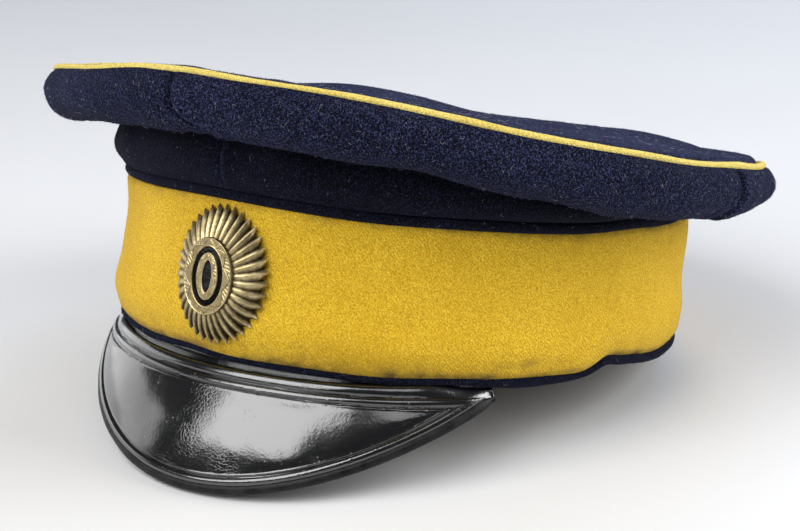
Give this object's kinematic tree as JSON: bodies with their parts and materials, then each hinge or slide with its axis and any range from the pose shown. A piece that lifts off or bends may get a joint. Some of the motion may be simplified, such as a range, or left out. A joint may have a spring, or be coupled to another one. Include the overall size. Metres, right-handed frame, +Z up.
{
  "type": "peaked cavalry service cap",
  "caption": "Soft dark blue cloth cap with an overhanging crown, yellow piping and band, a black lacquered peak and an oval brass sunburst cockade.",
  "frame": {"origin": "middle of the resting cap's bounding box, on the surface it stands on", "axes": "+Z up; the front of the cap, with peak and cockade, faces -Y; +X is the wearer's left"},
  "size_m": [0.2404, 0.235, 0.1237],
  "materials": {
    "navy_cloth": "heavy fulled wool, matt",
    "yellow_cloth": "fine wool cloth, matt",
    "lacquer": "black lacquered leather, glossy, lightly crackled",
    "brass": "aged and darkened, worn bright on the ridges",
    "enamel": "black enamel, glossy"
  },
  "bodies": {
    "root": {"crown_top": "navy_cloth", "crown_quarter_front_left": "navy_cloth", "crown_quarter_rear_left": "navy_cloth", "crown_quarter_rear_right": "navy_cloth", "crown_quarter_front_right": "navy_cloth", "crown_piping": "yellow_cloth", "band_top_welt": "navy_cloth", "band": "yellow_cloth", "band_lower_welt": "navy_cloth", "peak": "lacquer", "peak_binding": "lacquer", "cockade_rays": "brass", "cockade_ring": "brass", "cockade_enamel": "enamel", "cockade_inner_ring": "brass"}
  },
  "joints": []
}
